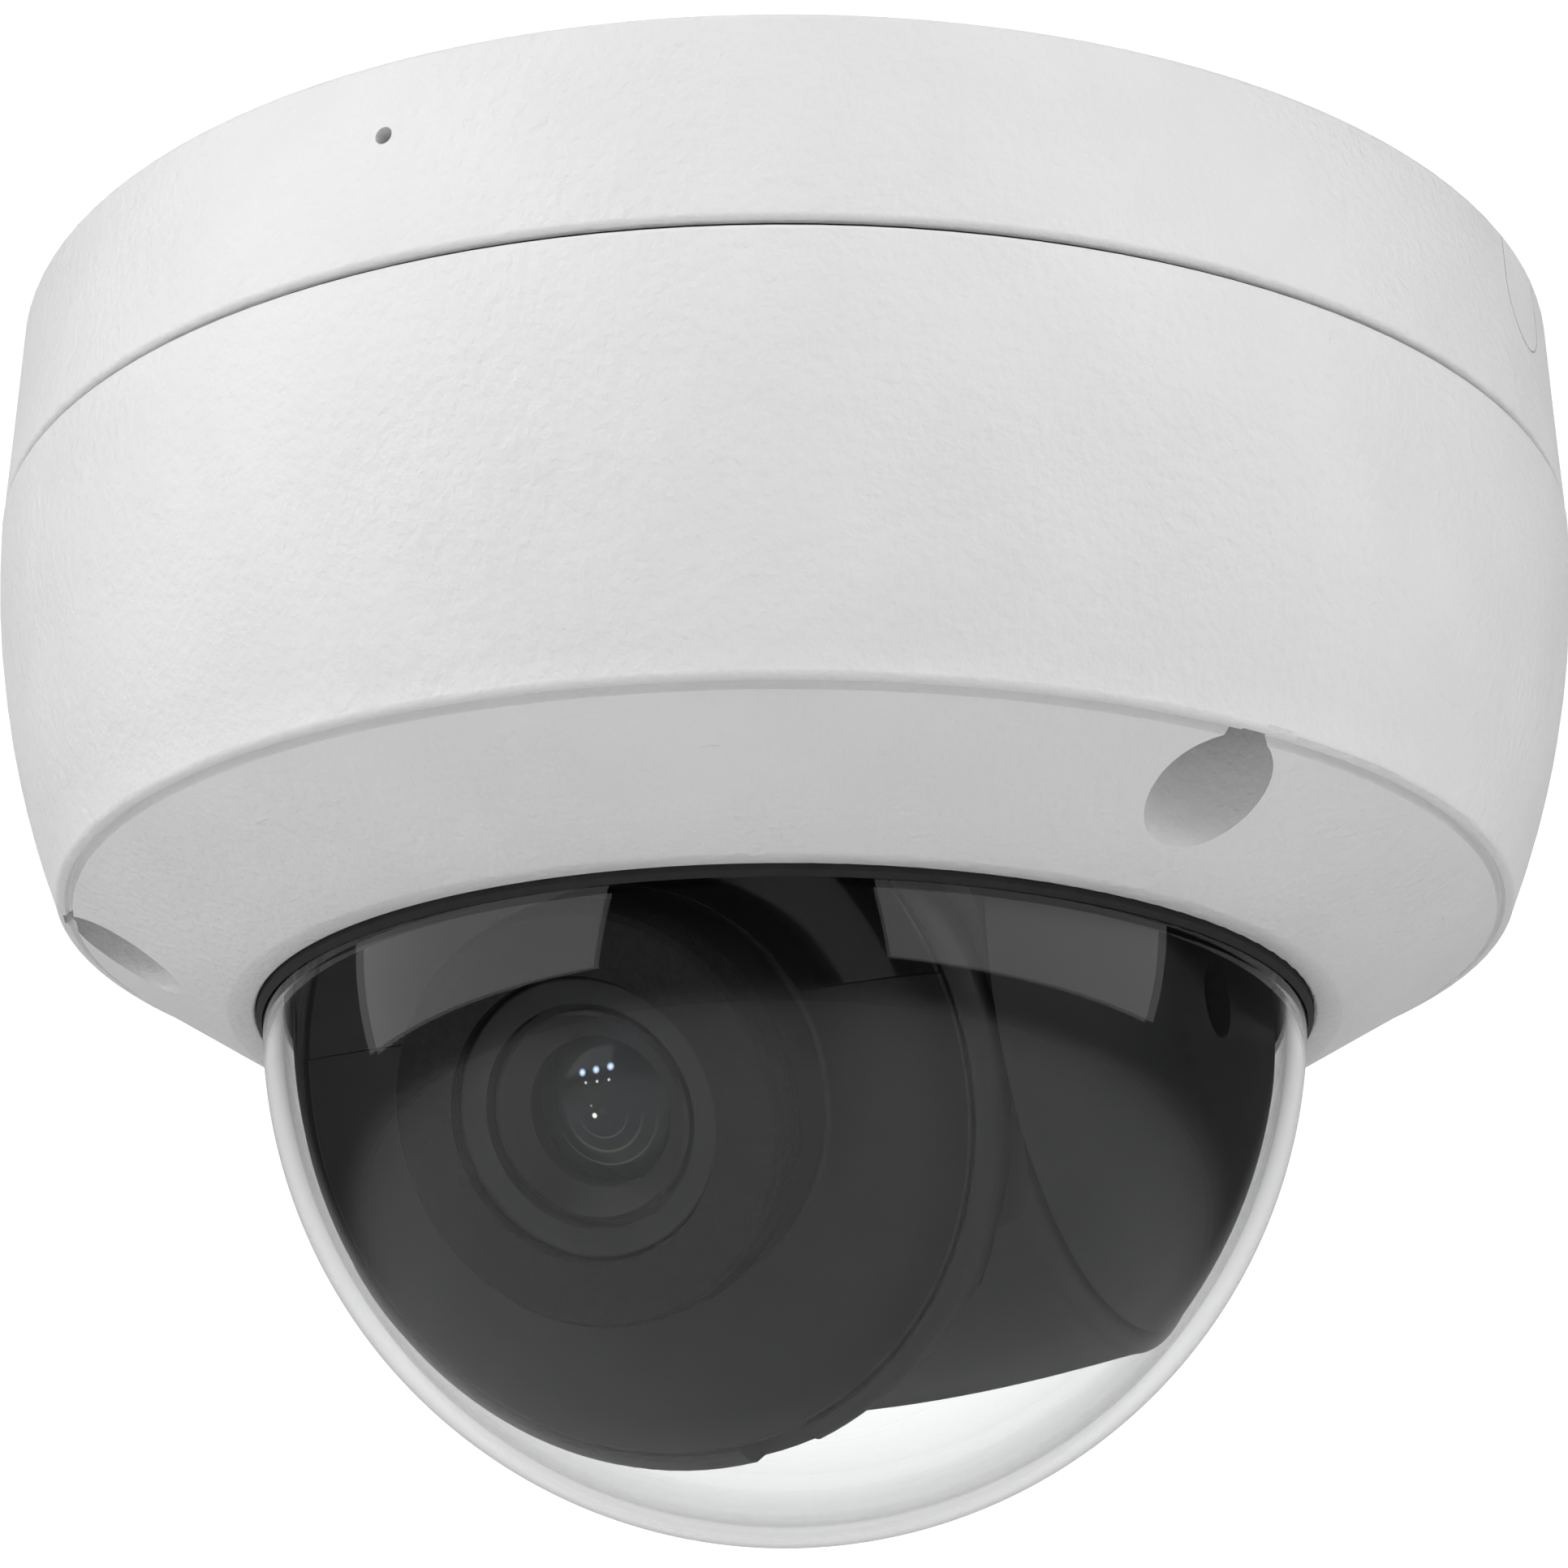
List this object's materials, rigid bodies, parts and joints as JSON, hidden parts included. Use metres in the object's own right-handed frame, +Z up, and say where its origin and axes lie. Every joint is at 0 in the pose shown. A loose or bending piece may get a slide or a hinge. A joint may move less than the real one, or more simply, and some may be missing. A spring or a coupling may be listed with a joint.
{
  "type": "dome security camera",
  "caption": "Ceiling dome camera: white base, drop-off cover with a clear dome, and a black ball head that pans, tilts and turns its lens.",
  "frame": {"origin": "centre of the flat face that lies on the ceiling", "axes": "+Z up into the ceiling, dome hanging towards -Z, front of the camera at -Y, viewer's right at +X"},
  "size_m": [0.1229, 0.1228, 0.0922],
  "materials": {
    "white_enamel": "fine textured white powder coat",
    "clear_dome": "clear hard-coated polycarbonate",
    "black_rubber": "matte black rubber",
    "black_plastic": "fine spark-eroded satin black",
    "lamp_window": "dark glossy infra-red window",
    "foam": "dense closed-cell foam",
    "lens_black": "satin black anodised",
    "lens_glass": "coated optical glass",
    "lamp_glass": "clear lamp lens",
    "board_green": "green solder mask",
    "chip_black": "moulded epoxy",
    "heat_pad": "soft grey-blue silicone",
    "white_plastic": "natural moulded plastic",
    "cable_black": "matte cable jacket",
    "wire_insulation": "coloured insulation",
    "bright_steel": "plated steel",
    "brass": "turned brass",
    "card_black": "black card with gold contacts",
    "switch_black": "moulded switch case",
    "button_white": "moulded button",
    "aluminium": "as-milled"
  },
  "bodies": {
    "base": {"mounting_base": "white_enamel", "base_gasket": "black_rubber", "cable_grommet": "black_rubber", "network_cable": "cable_black", "cable_wires": "wire_insulation", "cable_plug": "white_plastic", "cable_header": "white_plastic", "main_board": "board_green", "processor_chip": "chip_black", "heat_pad": "heat_pad", "memory_chips": "chip_black", "network_transformer": "chip_black", "power_inductors": "chip_black", "card_socket": "bright_steel", "reset_switch": "switch_black", "microphone_boot": "black_rubber", "microphone": "bright_steel", "board_standoffs": "brass", "bracket_screws": "bright_steel", "bearing_plate": "black_plastic"},
    "side_plug": {"side_plug": "white_enamel"},
    "memory_card": {"memory_card": "card_black"},
    "reset_button": {"reset_button": "button_white"},
    "yoke": {"yoke": "black_plastic", "left_cheek": "black_plastic", "right_cheek": "black_plastic", "pan_washer": "white_plastic", "pan_clip": "bright_steel", "sensor_cable": "cable_black"},
    "head": {"head_shell": "black_plastic", "head_rear_cover": "black_plastic", "head_screws": "bright_steel", "rim_ring": "black_plastic", "tilt_screws": "bright_steel", "tilt_washers": "white_plastic"},
    "lens_unit": {"front_cap": "black_plastic", "ir_window": "lamp_window", "roll_clip": "bright_steel", "ir_board": "board_green", "ir_leds": "lamp_glass", "foam_collar": "foam", "lens_barrel": "lens_black", "lens_retainer": "lens_black", "front_element": "lens_glass", "rear_element": "lens_glass", "lens_carrier": "aluminium", "lens_holder": "lens_black", "sensor_board": "board_green", "image_sensor": "chip_black", "sensor_heatsink": "aluminium", "sensor_screws": "bright_steel"},
    "cover": {"cover_shell": "white_enamel", "dome_bubble": "clear_dome", "dome_seal": "black_rubber", "dome_retainer": "bright_steel", "retainer_screws": "bright_steel", "screw_clips": "bright_steel"},
    "cover_screw_a": {"cover_screw_a": "bright_steel"},
    "cover_screw_b": {"cover_screw_b": "bright_steel"},
    "cover_screw_c": {"cover_screw_c": "bright_steel"}
  },
  "joints": [
    {"name": "pan", "type": "hinge", "parent": "base", "child": "yoke", "pos_m": [0, 0, -0.05244], "axis": [0, 0, 1], "range_deg": [-175, 175]},
    {"name": "tilt", "type": "hinge", "parent": "yoke", "child": "head", "pos_m": [0, 0, -0.05244], "axis": [0.9003, -0.4352, 0], "range_deg": [-25.8, 49.2]},
    {"name": "lens_turn", "type": "hinge", "parent": "head", "child": "lens_unit", "pos_m": [0, 0, -0.05244], "axis": [-0.3918, -0.8106, -0.4352], "range_deg": [-175, 175]},
    {"name": "cover_drop", "type": "slide", "parent": "base", "child": "cover", "axis": [0, 0, -1], "range_m": [0, 0.085]},
    {"name": "card_slide", "type": "slide", "parent": "base", "child": "memory_card", "axis": [0, 1, 0], "range_m": [0, 0.0125]},
    {"name": "reset_press", "type": "slide", "parent": "base", "child": "reset_button", "axis": [0, 0, 1], "range_m": [0, 0.0003]},
    {"name": "side_plug_slide", "type": "slide", "parent": "base", "child": "side_plug", "axis": [0.9063, -0.4226, 0], "range_m": [0, 0.012]},
    {"name": "cover_screw_a_turn", "type": "hinge", "parent": "cover", "child": "cover_screw_a", "pos_m": [0.02849, -0.04145, -0.038], "axis": [0, 0, 1], "continuous": true},
    {"name": "cover_screw_b_turn", "type": "hinge", "parent": "cover", "child": "cover_screw_b", "pos_m": [0.02165, 0.0454, -0.038], "axis": [0, 0, 1], "continuous": true},
    {"name": "cover_screw_c_turn", "type": "hinge", "parent": "cover", "child": "cover_screw_c", "pos_m": [-0.05014, -0.00395, -0.038], "axis": [0, 0, 1], "continuous": true}
  ]
}
